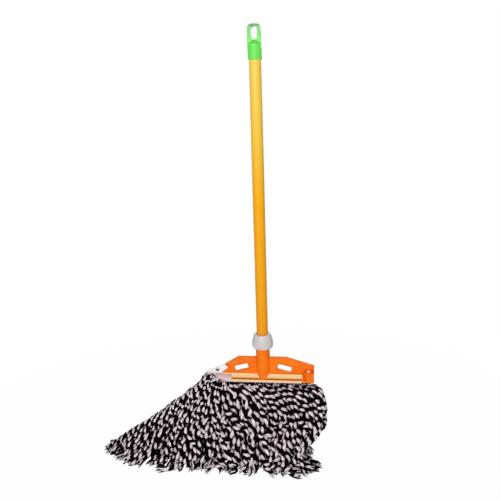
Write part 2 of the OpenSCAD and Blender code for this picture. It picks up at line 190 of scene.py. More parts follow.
class NodeSheet:
    """A node tree, with the one method that adds nodes to it."""

    def __init__(self, tree: bpy.types.NodeTree) -> None:
        """Keeps the tree."""
        self.tree = tree

    def add(self, kind: str, values: dict[Any, Any] | None = None, **settings: Any) -> Term:
        """Adds one node.

        Args:
            kind: The node's type.
            values: A value, a Dye or a Term for each socket, by name or number.
            settings: Its properties, set before its sockets. stops are a ramp's (place, dye).

        Returns:
            Its first output in use, or its own input where it has none.
        """
        node = self.tree.nodes.new(kind)
        for name, value in settings.items():
            if name == "stops":
                ramp = node.color_ramp
                while len(ramp.elements) < len(value):
                    ramp.elements.new(0.5)
                for element, (place, dye) in zip(ramp.elements, value):
                    element.position = place
                    element.color = (*dye.linear, 1)
            else:
                setattr(node, name, value)
        for key, value in (values or {}).items():
            socket = node.inputs[key]
            value = value.linear if isinstance(value, Dye) else value
            if isinstance(value, Term):
                self.tree.links.new(value.socket, socket)
            elif socket.type == "RGBA":
                socket.default_value = (*value, 1)
            else:
                socket.default_value = value
        used = [s for s in node.outputs if s.enabled]
        return Term(self, used[0] if used else node.inputs[0])

    def place(self) -> Term:
        """The object coordinates."""
        return self.add("ShaderNodeTexCoord").out("Object")

    def axes(self, place: Term) -> tuple[Term, Term, Term]:
        """The x, y and z of a place."""
        parts = self.add("ShaderNodeSeparateXYZ", {0: place})
        return parts.out("X"), parts.out("Y"), parts.out("Z")

    def mix(self, share: Any, first: Any, second: Any) -> Term:
        """A colour between two: the first where share is 0, the second where it is 1."""
        return self.add("ShaderNodeMix", {0: share, 6: first, 7: second}, data_type="RGBA")

    def vector(self, operation: str, first: Any, second: Any, output: str = "Vector") -> Term:
        """One Vector Math node on two vectors, or on a vector and a number for SCALE."""
        slot = 3 if operation == "SCALE" else 1
        values = {0: first, slot: second}
        return self.add("ShaderNodeVectorMath", values, operation=operation).out(output)

    def noise(self, place: Term, size: float, detail: float = 2, roughness: float = 0.5) -> Term:
        """Noise over a place, about 0.3 to 0.7, with features of a size in metres."""
        values = {"Vector": place, "Scale": 1 / size, "Detail": detail, "Roughness": roughness}
        return self.add("ShaderNodeTexNoise", values)

    def surface(self, colour: Term, roughness: Term, relief: tuple[float, float, Term],
                rest: dict[str, Any], under: Term | None = None) -> Term:
        """A Principled shader with a relief's strength, depth and height, laid on a normal."""
        bump = dict(zip(("Strength", "Distance", "Height"), relief))
        if under is not None:
            bump["Normal"] = under
        normal = self.add("ShaderNodeBump", bump)
        looks = {"Base Color": colour, "Roughness": roughness, "Normal": normal, **rest}
        return self.add("ShaderNodeBsdfPrincipled", looks)


# ---- Finishes ----


@dataclass(frozen=True)
class Finish:
    """What all finishes share: a name, and the making of a material."""

    name: str

    def dress(self, sheet: NodeSheet) -> Term:
        """The surface's shader, made on the sheet."""
        raise NotImplementedError

    def material(self) -> bpy.types.Material:
        """The finish as a new material."""
        material = bpy.data.materials.new(self.name)
        material.use_nodes = True
        material.node_tree.nodes.clear()
        sheet = NodeSheet(material.node_tree)
        sheet.add("ShaderNodeOutputMaterial", {"Surface": self.dress(sheet)})
        return material


@dataclass(frozen=True)
class MouldedPlastic(Finish):
    """Moulded polypropylene: faint flow marks, a fine grain, and patches of the edge colour on its
    edges, rubbed paler where that colour is paler and painted shade where it is darker.
    """

    colour: Dye
    deep: Dye
    edge_colour: Dye
    roughness: float = 0.42
    flow: float = 0.03
    grain: float = 0.0007
    edge: float = 0.0006
    edge_patch: float = 0.004
    shine: float = 0.2

    def tint(self, sheet: NodeSheet, place: Term, colour: Term) -> Term:
        """What one moulding adds to the plain colour: nothing here."""
        return colour

    def dress(self, sheet: NodeSheet) -> Term:
        """The surface's shader, made on the sheet."""
        place = sheet.place()
        flow = sheet.noise(place, self.flow, 3)
        grain = sheet.noise(place, self.grain)
        rounded = sheet.add("ShaderNodeBevel", {"Radius": self.edge}, samples=4)
        flat = sheet.add("ShaderNodeNewGeometry").out("Normal")
        corner = 1 - sheet.vector("DOT_PRODUCT", rounded, flat, "Value")
        # Patches along the edges: wear where the edge colour is paler, painted shade where it is darker
        wear_and_edge_shade = corner.rise(0.02, 0.16) * sheet.noise(place, self.edge_patch, 3).rise(0.36, 0.6)
        colour = sheet.mix(flow.rise(0.35, 0.7), self.colour, self.deep)
        colour = sheet.mix(wear_and_edge_shade * 0.5, self.tint(sheet, place, colour), self.edge_colour)
        roughness = flow * 0.14 + grain * 0.1 + (self.roughness - 0.12) + wear_and_edge_shade * 0.1
        return sheet.surface(colour, roughness, (0.25, 0.00012, grain),
                             {"Specular IOR Level": self.shine}, rounded)


@dataclass(frozen=True)
class JawPlastic(MouldedPlastic):
    """Orange moulding of the jaws: a painted highlight on the ledge, for the light that falls on it from
    above and through its thin wall, painted shade on its lip and its raised borders, pale at the ears
    that hold the latch, and a spot of painted shade on the knuckle that shows in the latch's window."""

    plate_z: float = 0.2043
    lip_z: float = 0.1953
    lip_groove: float = 0.0012
    face: float = 0.0040
    blend: float = 0.0004
    ledge_end: float = 0.0870
    ears_start: float = 0.0965
    keel: tuple[float, float, float] = (0.01555, 0.2213, 0.0257)
    # Centre and spread of the painted shade spot on the knuckle
    knuckle: tuple[float, float] = (-0.1027, 0.2106)
    shade_spread: tuple[float, float] = (0.0038, 0.0030)

    def tint(self, sheet: NodeSheet, place: Term, colour: Term) -> Term:
        """Paints light on the ledge and shade on its lip, the borders and the knuckle, and colours the
        ears.

        Args:
            sheet: The sheet.
            place: The object coordinates.
            colour: The plain colour.

        Returns:
            The colour with its changes.
        """
        across, depth, height = sheet.axes(place)
        half, middle, drop = self.keel
        oval = (across / half) ** 2 + ((height - middle) / drop).do("MINIMUM", 0) ** 2
        clear = oval.rise(0.99, 1.02).do("MAXIMUM", depth.rise(0.0, 0.0001))
        inside = across.rise(self.ledge_end, self.ledge_end - self.blend)
        proud = abs(depth).rise(self.face, self.face + self.blend)
        below = height.rise(self.plate_z + 0.0003, self.plate_z - 0.0003)
        share = proud * inside * clear
        # Painted shade on the raised borders above the plate
        colour = sheet.mix(share * (1 - below) * 0.8, colour, Dye.BORDER_SHADE)
        # Painted highlight on the ledge, paler towards the plate and deeper towards the lip
        ledge = sheet.mix(height.rise(self.lip_z, self.plate_z), Dye.LEDGE_LIT_LOW, Dye.LEDGE_LIT)
        colour = sheet.mix(share * below, colour, ledge)
        # Painted shade: a dark line along the lip
        line = abs(height - self.lip_z - self.lip_groove).rise(self.lip_groove * 1.5, self.lip_groove)
        colour = sheet.mix(share * line, colour, Dye.LIP_SHADE)
        ears = across.rise(-self.ears_start, -self.ears_start - 0.001)
        colour = sheet.mix(ears, colour, Dye.WHITE_DEEP)
        # Painted shade: a dark spot on the knuckle in the latch's window
        dark = ((across - self.knuckle[0]) / self.shade_spread[0]) ** 2
        dark = (dark + ((height - self.knuckle[1]) / self.shade_spread[1]) ** 2).rise(1.1, 0.6)
        return sheet.mix(dark * 0.9, colour, Dye.DARK_PIN_AND_SHADE)


@dataclass(frozen=True)
class CoatedTube(Finish):
    """Gloss coating on the steel tube, with faint draw lines and painted light that makes it paler and
    yellower towards the top.
    """

    bottom: float = 0.3
    top: float = 0.88
    draw_line: float = 0.0012
    mark: float = 0.003

    def dress(self, sheet: NodeSheet) -> Term:
        """The surface's shader, made on the sheet."""
        place = sheet.place()
        share = (sheet.axes(place)[2] - self.bottom) / (self.top - self.bottom)
        # Painted light: the colour grows paler and yellower towards the top
        stops = [(0.0, Dye.AMBER_LOW), (0.5, Dye.AMBER), (0.74, Dye.AMBER_LIT), (1.0, Dye.AMBER_HIGH)]
        colour = sheet.add("ShaderNodeValToRGB", {0: share}, stops=stops)
        long, longish = (sheet.vector("MULTIPLY", place, (1.0, 1.0, z)) for z in (0.02, 0.2))
        lines = sheet.noise(long, self.draw_line)
        cloud = sheet.noise(longish, 0.02, 3)
        marks = sheet.noise(place, self.mark, 4, 0.7).rise(0.7, 0.74)
        colour = sheet.mix(cloud.rise(0.4, 0.7) * 0.12, colour, Dye.AMBER_LOW)
        colour = sheet.mix(marks * 0.25, colour, Dye.AMBER_HIGH)
        coat = {"Specular IOR Level": 0.15, "Coat Weight": 0.15, "Coat Roughness": 0.2}
        return sheet.surface(colour, lines * 0.1 + marks * 0.2 + 0.3,
                             (0.12, 0.0001, lines + cloud), coat)


@dataclass(frozen=True)
class ClearishPlastic(Finish):
    """Soft translucent plastic of the cap: light passes into it, its loop looks paler, and its slot's
    roof has painted shade.
    """

    turn: float = 0.905
    top: float = 0.942
    edge: float = 0.0012
    grain: float = 0.0008

    def dress(self, sheet: NodeSheet) -> Term:
        """The surface's shader, made on the sheet."""
        place = sheet.place()
        height = sheet.axes(place)[2]
        cloud = sheet.noise(place, 0.012, 3)
        rounded = sheet.add("ShaderNodeBevel", {"Radius": self.edge}, samples=4)
        pale = height.rise(self.turn, self.top) * 0.8 + cloud * 0.2
        colour = sheet.mix(pale, Dye.GREEN, Dye.GREEN_PALE)
        # Painted shade on the roof of the loop's slot
        colour = sheet.mix(height.rise(self.top - 0.001, self.top + 0.0005), colour, Dye.GREEN_ROOF_SHADE)
        depth = {"Specular IOR Level": 0.12, "Subsurface Weight": 0.2,
                 "Subsurface Radius": (0.002, 0.004, 0.002), "Subsurface Scale": 1.0}
        return sheet.surface(colour, cloud * 0.2 + 0.22,
                             (0.2, 0.0001, sheet.noise(place, self.grain)), depth, rounded)


@dataclass(frozen=True)
class PlatedSteel(Finish):
    """Zinc-plated steel of the pins and the washer."""

    colour: Dye

    def dress(self, sheet: NodeSheet) -> Term:
        """The surface's shader, made on the sheet."""
        place = sheet.place()
        cloud = sheet.noise(place, 0.002, 4)
        brush = sheet.noise(sheet.vector("MULTIPLY", place, (1.0, 1.0, 8.0)), 0.0012)
        dull = sheet.vector("SCALE", self.colour, 0.55)
        colour = sheet.mix(cloud.rise(0.45, 0.75), self.colour, dull)
        return sheet.surface(colour, brush * 0.2 + cloud * 0.15 + 0.15, (0.2, 0.0001, brush),
                             {"Metallic": 1.0})


@dataclass(frozen=True)
class WovenTape(Finish):
    """Cloth of the headband: a plain weave with loose fibres, rosier with painted shade in its
    hollows, and two rows of stitches."""

    pitch: float = 0.0013
    rows: tuple[float, float] = (0.1868, 0.1915)
    stitch: float = 0.0036
    thread_edge: tuple[float, float] = (0.0007, 0.0003)

    def dress(self, sheet: NodeSheet) -> Term:
        """The surface's shader, made on the sheet."""
        place = sheet.place()
        across, depth, height = sheet.axes(place)
        beat = TURN / self.pitch
        drift = sheet.noise(place, 0.006) * 2.0
        weave = (across * beat + drift).sin() * ((height + depth) * beat + drift).sin() * 0.5 + 0.5
        fuzz = sheet.noise(place, 0.0006, 3, 0.7)
        stain = sheet.noise(place, 0.02, 3).rise(0.4, 0.7)
        # Painted shade: the weave's hollows take the deeper pink
        colour = sheet.mix(weave * 0.6 + fuzz * 0.4, Dye.PINK_DEEP, Dye.PINK)
        colour = sheet.mix(stain * 0.3, colour, Dye.PINK_DEEP)
        low, high = (abs(height - row).rise(*self.thread_edge) for row in self.rows)
        seam = (low + high) * (across * (TURN / self.stitch)).sin().rise(-0.6, -0.3)
        colour = sheet.mix(seam, colour, Dye.WHITE)
        return sheet.surface(colour, fuzz * 0.1 + 0.85,
                             (0.7, 0.0005, weave * 0.6 + fuzz * 0.8 + seam * 0.9),
                             {"Sheen Weight": 0.3, "Sheen Roughness": 0.6})


@dataclass(frozen=True)
class TwistedYarn(Finish):
    """Two-ply yarn, one pale ply and one dark, of fibres that follow its twist; painted shade where it
    faces into the fan, painted highlights on the dark fibres.
    """

    pale_edge: float = 0.98
    fibre: float = 0.0011
    half: float = 0.0045
    stretch: float = 0.12

    def dress(self, sheet: NodeSheet) -> Term:
        """The surface's shader, made on the sheet."""
        ply, skew, along, tone, crest = (
            sheet.add("ShaderNodeAttribute", attribute_name=name).out("Fac")
            for name in ("ply", "skew", "along", "tone", "crest"))
        lay = {0: ply * self.half + tone, 1: skew * self.half, 2: along * self.stretch}
        fibre = sheet.noise(sheet.add("ShaderNodeCombineXYZ", lay), self.fibre, 3, 0.65)
        fuzz = sheet.noise(sheet.place(), 0.0007)
        # crest: how far the skin faces out of the fan; it paints shade on the sides that face into it
        crest = crest.rise(-0.2, 0.9)
        # Painted shade: the dark ply shows more where the skin faces into the fan
        edge = (ply + crest * 0.85 - self.pale_edge + (fibre - 0.5) * 0.7).rise(-0.1, 0.1)
        # Painted light and shade on the pale ply: shaded copies of its colour where the skin faces into
        # the fan, with fibre streaks and random tone
        lit = (fibre.rise(0.25, 0.6) * 0.5 + 0.5) * (crest * 0.52 + 0.62) * (1 - tone * 0.3)
        pale = sheet.mix(lit, sheet.vector("SCALE", Dye.YARN_PALE, 0.2), Dye.YARN_PALE)
        # Painted highlights on the fibres of the dark ply
        dark = sheet.vector("SCALE", Dye.YARN_DARK, 2.2)
        dark = sheet.mix(fibre.rise(0.5, 0.8), Dye.YARN_DARK, dark)
        return sheet.surface(sheet.mix(edge, dark, pale), fibre * 0.1 + 0.85,
                             (0.8, 0.0006, fibre + fuzz * 0.4), {"Specular IOR Level": 0.03})


@dataclass(frozen=True)
class WhiteFloor(Finish):
    """A pale floor that fades into the white backdrop and keeps the soft shadow of the mop."""

    near: float = 0.45
    far: float = 1.1
    glow: float = 0.97

    def dress(self, sheet: NodeSheet) -> Term:
        """The surface's shader, made on the sheet."""
        place = sheet.place()
        reach = sheet.vector("LENGTH", place, (0.0, 0.0, 0.0), "Value")
        seen = sheet.add("ShaderNodeLightPath").out("Is Camera Ray")
        speck = sheet.mix(sheet.noise(place, 0.05, 3), Dye.FLOOR, Dye.FLOOR_PALE)
        matt = sheet.add("ShaderNodeBsdfDiffuse", {"Color": speck})
        white = sheet.add("ShaderNodeEmission", {"Color": Dye.PURE_WHITE, "Strength": 1.0})
        share = reach.rise(self.near, self.far) * (1 - self.glow) + self.glow
        return sheet.add("ShaderNodeMixShader", {0: share * seen, 1: matt, 2: white})


class Finishes:
    """One material for each finish, made once."""

    def __init__(self) -> None:
        """Makes the materials."""
        self.orange = JawPlastic("orange_moulding", Dye.ORANGE, Dye.ORANGE_DEEP,
                                 Dye.ORANGE_EDGE_SHADE).material()
        self.tube = CoatedTube("amber_tube_coating").material()
        self.cap = ClearishPlastic("green_cap_plastic").material()
        self.nut = MouldedPlastic("grey_nut_plastic", Dye.GREY, Dye.GREY_DEEP, Dye.WHITE,
                                  roughness=0.38, edge=0.0008).material()
        self.latch = MouldedPlastic("white_latch_plastic", Dye.WHITE, Dye.WHITE_DEEP, Dye.WHITE,
                                    roughness=0.35).material()
        self.plug = MouldedPlastic("black_plug_plastic", Dye.BLACK, Dye.BLACK, Dye.GREY,
                                   roughness=0.5).material()
        self.steel = PlatedSteel("zinc_plate", Dye.ZINC).material()
        self.dark_steel = PlatedSteel("darkened_pin", Dye.DARK_PIN_AND_SHADE).material()
        self.tape = WovenTape("headband_cloth").material()
        self.yarn = TwistedYarn("two_ply_yarn").material()


# ---- Meshes ----


def put(name: str, data: bpy.types.ID) -> bpy.types.Object:
    """Puts a new object in the scene, at the origin."""
    made = bpy.data.objects.new(name, data)
    bpy.context.scene.collection.objects.link(made)
    return made


def piece(name: str, mesh: bpy.types.Mesh, material: bpy.types.Material) -> bpy.types.Object:
    """Puts a mesh in the scene as a finished object at the origin, with its only material."""
    mesh.name = name
    mesh.materials.clear()
    mesh.materials.append(material)
    return put(name, mesh)


def paint(nodes: Nodes, looks: dict[str, bpy.types.Material]) -> None:
    """Gives CAD nodes their materials in every slot, or in a new slot where they have none."""
    for name, material in looks.items():
        if not nodes[name].material_slots:
            nodes[name].data.materials.append(material)
        for slot in nodes[name].material_slots:
            slot.material = material


def turn_out(mesh: bpy.types.Mesh) -> None:
    """Turns a closed mesh's faces outwards."""
    shape = bmesh.new()
    shape.from_mesh(mesh)
    bmesh.ops.recalc_face_normals(shape, faces=shape.faces)
    shape.to_mesh(mesh)
    shape.free()


# ---- Yarn ----


@dataclass
class YarnLine:
    """Centre lines of the strands: each row of points is one strand, from headband to floor."""

    points: Array
    girth: Array
    lock: list[str]


@dataclass
class YarnFan:
    """The refill's yarn, fanned from the headband down to the floor."""

    left: float
    right: float
    band_half: float
    height: float = 0.184
    over: float = 0.014
    # How far the left feet reach, and how that grows from right to left and down the fan
    left_reach: float = 0.250
    lean: tuple[float, float] = (2.6, 1.2)
    # The right end's bulge, waist and flare, with where each starts and how long it takes, as
    # shares of the way down
    right_bulge: float = 0.034
    bulge_full: float = 0.16
    bulge_fade: tuple[float, float] = (0.46, 0.34)
    waist: float = 0.014
    waist_in: tuple[float, float] = (0.55, 0.25)
    waist_out: tuple[float, float] = (0.88, 0.12)
    flare: float = 0.055
    flare_from: float = 0.84
    # The middle tops' shift to the left, with where it starts and ends along the fan
    sweep: float = 0.018
    sweep_in: tuple[float, float] = (0.15, 0.2)
    sweep_out: tuple[float, float] = (0.75, 0.2)
    sweep_down: float = 0.18
    # The rounding of the two ends, as shares along the fan
    left_round: float = 0.35
    right_round: float = 0.12
    # How the tops crowd to the left, the left feet's step to the front, half the thickness at the
    # ends and at the feet, and the furthest that yarn lies from the middle
    gather: float = 1.6
    forward: float = 0.006
    end_half: float = 0.006
    splay: float = 0.086
    reach: float = 0.0925
    # A strand's width, the length of its twist, the spacing of its rings and its open ends' length
    strand: float = 0.0100
    pitch: float = 0.0190
    ring: float = 0.0021
    opened: tuple[float, float] = (0.010, 0.026)
    levels: int = 48
    # Strands sewn over the band's left end rise by this, from the left end to this share along
    loop_rise: float = 0.0155
    loop_share: float = 0.26
    sink: float = 0.0060
    # How settling treats a strand: how far it may move, how far it may be squashed, how stiff it is,
    # and after how many passes its neighbours are looked for again
    give: float = 0.006
    squash: float = 0.93
    stiff: float = 0.3
    look_again: int = 5
    # How far a frayed yarn spreads sideways and runs on past the strand's end
    fray_spread: tuple[float, float] = (0.001, 0.0085)
    fray_past: tuple[float, float] = (-0.004, 0.006)
    feet_level: float = 0.65
    # A strand's sways: their size, and the least and most turns down its length
    sways: tuple[tuple[float, float, float], ...] = (
        (0.0085, 0.9, 1.8), (0.0054, 2.0, 3.4), (0.0022, 4.5, 6.5))
    # The layers' depths, 1 at the face, and their strands a side
    layers: tuple[tuple[float, int], ...] = ((1.0, 54), (0.74, 46), (0.4, 24))

    def spine(self, u: Array, t: Array, w: Array) -> Array:
        """A point of the fan.

        Args:
            u: Share along the fan, 0 at the left end.
            t: Share of the way down, 0 at the headband.
            w: Share of the half thickness, -1 at the front face and 1 at the back.

        Returns:
            The points, with x, y, z as the last axis.
        """
        t = np.maximum(t, 0)
        x = -self.left + u * (self.left + self.right + self.over)
        x = x - self.left_reach * (1 - u) ** self.lean[0] * t ** self.lean[1]
        bulge = quarter(t, self.bulge_full) * (1 - ease(t, *self.bulge_fade))
        waist = ease(t, *self.waist_in) * (1 - ease(t, *self.waist_out))
        flare = np.clip((t - self.flare_from) / (1 - self.flare_from), 0, 1) ** 2
        x = x + u ** 4 * (self.right_bulge * bulge - self.waist * waist)
        middle = ease(u, *self.sweep_in) * (1 - ease(u, *self.sweep_out))
        x = x - self.sweep * middle * (1 - ease(t, 0, self.sweep_down))
        x = x + self.strand / 2 * (1 - 2 * u) ** 3
        ends = quarter(u, self.left_round) * quarter(1 - u, self.right_round)
        spread = t ** (0.8 + 1.2 * (1 - u) ** 2)
        width = self.band_half - self.end_half + (self.splay - self.band_half) * spread
        half = self.end_half + width * ends
        y = -self.forward * (1 - u) ** 3 * t + w * np.maximum(half - self.strand / 2, 0.001)
        x = x + u ** 4 * self.flare * flare * np.clip(-y / self.splay, 0, 1)
        return np.stack([x, y, self.height * (1 - t)], axis=-1)

    def feet(self, tops: Array, w: float) -> Array:
        """Shares along the fan that stand evenly round its lower part, for a layer at depth w."""
        u = np.linspace(0.0, 1.0, 400)
        line = self.spine(u, np.full(400, self.feet_level), np.full(400, w))[:, :2]
        run = lengths(line)
        return np.interp(tops * run[-1], run, u)

    def lay(self, rng: Chance) -> YarnLine:
        """Lays the strands on the fan, with the sway and the uneven ends of loose yarn."""
        t = np.linspace(0, 1, self.levels)
        lines, girths, locks = [], [], []
        for share, count in self.layers:
            for side, word in ((-1, "front"), (1, "back")):
                even = (np.arange(count) + 0.5) / count
                feet = self.feet(even, side * share)
                for i, (top, foot) in enumerate(zip(even ** self.gather, feet)):
                    jitter = rng.uniform(-1.5, 1.5, 2) / count
                    top_u = np.clip(top + jitter[0], 0, 1)
                    foot_u = np.clip(foot + jitter[1], 0, 1)
                    depth = share + rng.normal(0, 0.09) - 0.3 * (i % 2) * (1 - ease(t, 0, 0.8))
                    moved = ease(t, 0, 0.85 - 0.45 * ease(foot, 0.5, 0.4))
                    line = self.strand_line(top_u, foot_u, moved, side * depth, rng)
                    lines.append(line)
                    girths.append(self.girth(t, rng))
                    locks.append(f"yarn_{word}_{min(int((top_u + foot_u) / 2 * 6), 5) + 1}")
        return YarnLine(np.array(lines), np.array(girths), locks)

    def strand_line(self, top_u: float, foot_u: float, moved: Array, w: Array,
                    rng: Chance) -> Array:
        """One strand's centre line.

        Args:
            top_u: Share along the fan where it leaves the headband.
            foot_u: Share along the fan where it reaches the floor.
            moved: How far it has moved from one to the other, for each level.
            w: Its share of the fan's half thickness, for each level.
            rng: The seeded source of chance.

        Returns:
            Its points.
        """
        t = np.linspace(0, 1, self.levels)
        u = top_u + (foot_u - top_u) * moved
        side = 1.0 if np.mean(w) > 0 else -1.0
        line = self.spine(u, t * rng.uniform(0.96, 1.04), np.clip(w, -1.05, 1.05))
        window = np.clip(t / 0.4, 0, 1)[:, None] * np.clip(min(foot_u, 1 - foot_u) / 0.1, 0.25, 1)
        for size, low, high in self.sways:
            phase, turns = rng.uniform(0, TURN, 3), rng.uniform(low, high, 3)
            line += window * np.sin(TURN * turns * t[:, None] + phase) * size * SWAY_AXES
        rise = self.loop_rise * np.clip(1 - top_u / self.loop_share, 0, 1) ** 1.5
        rise *= rng.uniform(0.75, 1.15)
        line[:len(LOOP)] += rise * LOOP * (1, side, 1)
        line[:3, 1] = side * np.maximum(side * line[:3, 1], (self.band_half + 0.001) * (rise > 0.002))
        line[:len(SINK), 2] -= self.sink * (rise <= 0.002) * SINK
        return line

    def girth(self, t: Array, rng: Chance) -> Array:
        """Half the width of one strand at each level, pinched where it is sewn into the band."""
        return self.strand / 2 * rng.uniform(0.88, 1.12) * (0.66 + 0.34 * np.clip(t / 0.15, 0, 1) ** 0.7)

    def twist(self, s: Array, rng: Chance) -> Array:
        """How far the plies have turned at each length, tighter in some places than in others."""
        pitch = self.pitch * rng.uniform(0.8, 1.25)
        sway = np.sin(TURN * s / rng.uniform(0.05, 0.09) + rng.uniform(0, TURN))
        return TURN * s / pitch + 0.7 * sway

    def settle(self, yarn: YarnLine, rounds: int) -> None:
        """Pushes the strands out of each other, so that they lie side by side and over each other.

        Args:
            yarn: The strands, which are moved.
            rounds: Number of passes.
        """
        home = yarn.points.copy()
        count, levels, _ = home.shape
        owner = np.repeat(np.arange(count), levels)
        girth = yarn.girth.reshape(-1)
        free = np.clip((np.arange(levels) - 1) / 5, 0, 1)[None, :, None]
        for step in range(rounds):
            flat = yarn.points.reshape(-1, 3)
            if step % self.look_again == 0:
                a, b = near_pairs(flat, owner, self.strand * 1.1)
            gap = flat[a] - flat[b]
            far = np.maximum(np.linalg.norm(gap, axis=1), 1e-6)
            push = np.maximum((girth[a] + girth[b]) * self.squash - far, 0) * 0.5 / far
            move = np.zeros_like(flat)
            touch = np.bincount(a, push > 0, len(flat)) + np.bincount(b, push > 0, len(flat))
            for axis in range(3):
                move[:, axis] = (np.bincount(a, gap[:, axis] * push, len(flat))
                                 - np.bincount(b, gap[:, axis] * push, len(flat)))
            move /= np.maximum(touch, 1)[:, None] ** 0.6
            shift = yarn.points - home + move.reshape(home.shape) * free
            shift[:, 1:-1] += self.stiff * ((shift[:, :-2] + shift[:, 2:]) / 2 - shift[:, 1:-1])
            yarn.points = home + np.clip(shift * 0.985, -self.give, self.give)
            yarn.points[:, :, 1] = np.clip(yarn.points[:, :, 1], -self.reach, self.reach)
            yarn.points[:, :, 2] = np.maximum(yarn.points[:, :, 2], yarn.girth * 1.15)

    def strands(self, rng: Chance, rounds: int) -> dict[str, dict[str, Array]]:
        """The strands of each lock as runs of points with their attributes.

        Args:
            rng: The seeded source of chance.
            rounds: Number of settling passes.

        Returns:
            For each lock, its points, edges, girth, turn, along and tone.
        """
        yarn = self.lay(rng)
        self.settle(yarn, rounds)
        made: dict[str, list[Run]] = {}
        for points, girth, lock in zip(yarn.points, yarn.girth, yarn.lock):
            run = lengths(points)
            rings = max(int(run[-1] / self.ring), 8)
            s = np.linspace(0, run[-1], rings)
            fine = smooth_line(points, run, s)
            thick = np.interp(s, run, girth)
            whole = rings - int(rng.uniform(*self.opened) / self.ring)
            thick[whole:] *= np.linspace(1, 0.25, rings - whole)
            turn = rng.uniform(0, TURN) - self.twist(s, rng)
            tone = rng.uniform(0, 1)
            rows = made.setdefault(lock, [])
            out = np.interp(s, run, self.face_way(points))
            rows.append((fine, thick, turn, s, np.full(rings, tone), out))
            rows.extend(self.fray(fine[whole - 3:], thick[whole - 1], tone, out[-1], rng))
        return {lock: join_runs(rows) for lock, rows in made.items()}

    def fray(self, fine: Array, thick: float, tone: float, way_out: float,
             rng: Chance) -> list[Run]:
        """The yarns that a strand opens into at its cut end.

        Args:
            fine: The strand's points from where it opens.
            thick: Its half width there.
            tone: Its tone.
            way_out: Angle of the way out of the fan there.
            rng: The seeded source of chance.

        Returns:
            A run for each yarn.
        """
        count = len(FRAY_WIDTHS)
        pick = np.linspace(0, len(fine) - 1, count).astype(int)
        steps = np.linspace(0, 1, count)[:, None]
        way = fine[-1] - fine[0]
        long = np.linalg.norm(way)
        way = way / max(long, 1e-9)
        runs = []
        for number in range(rng.integers(4, 7)):
            side = rng.normal(0, 1, 3)
            side = side - way * side.dot(way)
            side = side / np.linalg.norm(side)
            spread = steps ** 1.4 * rng.uniform(*self.fray_spread)
            line = fine[pick] + side * (thick * 0.55 + spread)
            line += way * steps * rng.uniform(*self.fray_past)
            width = FRAY_WIDTHS * thick * rng.uniform(0.75, 1.15)
            line[:, 1] = np.clip(line[:, 1], -self.reach, self.reach)
            line[:, 2] = np.maximum(line[:, 2], width * 1.1)
            turn = np.pi * rng.uniform(0.6, 1.4) if number % 5 < 3 else rng.uniform(-0.6, 0.6)
            runs.append((line, width, np.full(count, turn + way_out), steps[:, 0] * long,
                         np.full(count, tone), np.full(count, way_out)))
        return runs

    @staticmethod
    def face_way(points: Array) -> Array:
        """The level angle of the way out of the fan at each point of one strand."""
        centre = np.array([-0.04, 0.0])
        out = points[:, :2] - centre
        out[:, 0] *= 0.25
        return np.unwrap(np.arctan2(out[:, 1], out[:, 0]))


def ease(t: Array, start: float, length: float) -> Array:
    """A smooth rise from 0 at t = start to 1 a length further."""
    share = np.clip((t - start) / length, 0, 1)
    return share * share * (3 - 2 * share)


def quarter(t: Array, end: float) -> Array:
    """A rise along a quarter of an ellipse, from 0 at t = 0 to 1 at t = end."""
    return np.sqrt(np.clip(1 - (1 - np.minimum(t / end, 1)) ** 2, 0, 1))


def lengths(points: Array) -> Array:
    """Length along a line at each of its points."""
    return np.concatenate([[0], np.cumsum(np.linalg.norm(np.diff(points, axis=0), axis=1))])


def near_pairs(points: Array, owner: Array, reach: float) -> tuple[Array, Array]:
    """Pairs of points of different strands that are close together.

    Args:
        points: All points, one a row.
        owner: The strand of each point.
        reach: Size of the cells in which neighbours are looked for.

    Returns:
        The two lists of point numbers.
    """
    cell = np.floor(points / reach).astype(np.int64)
    cell -= cell.min(axis=0) - 1
    size = cell.max(axis=0) + 2
    key = (cell[:, 0] * size[1] + cell[:, 1]) * size[2] + cell[:, 2]
    order = np.argsort(key, kind="stable")
    ranked = key[order]
    firsts, seconds = [], []
    for dx, dy, dz in np.ndindex(3, 3, 3):
        other = key + ((dx - 1) * size[1] + dy - 1) * size[2] + dz - 1
        low = np.searchsorted(ranked, other, "left")
        count = np.searchsorted(ranked, other, "right") - low
        first = np.repeat(np.arange(len(points)), count)
        start = np.repeat(low - (np.cumsum(count) - count), count)
        second = order[start + np.arange(count.sum())]
        keep = (first < second) & (owner[first] != owner[second])
        firsts.append(first[keep])
        seconds.append(second[keep])
    return np.concatenate(firsts), np.concatenate(seconds)


def smooth_line(points: Array, run: Array, s: Array) -> Array:
    """A smooth curve through points at lengths run, taken at the lengths s."""
    slope = np.gradient(points, run, axis=0)
    k = np.clip(np.searchsorted(run, s, "right") - 1, 0, len(run) - 2)
    step = run[k + 1] - run[k]
    q = ((s - run[k]) / step)[:, None]
    step = step[:, None]
    return ((1 + 2 * q) * (1 - q) ** 2 * points[k] + q * (1 - q) ** 2 * step * slope[k]
            + q * q * (3 - 2 * q) * points[k + 1] + q * q * (q - 1) * step * slope[k + 1])


def join_runs(rows: Sequence[Run]) -> dict[str, Array]:
    """Joins runs of points into one set of arrays, with edges only inside each run."""
    edges, start = [], 0
    for row in rows:
        steps = np.arange(start, start + len(row[0]) - 1)
        edges.append(np.stack([steps, steps + 1], axis=1))
        start += len(row[0])
    names = ("points", *YARN_ATTRIBUTES)
    made = {name: np.concatenate([row[i] for row in rows]) for i, name in enumerate(names)}
    made["edges"] = np.concatenate(edges)
    return made


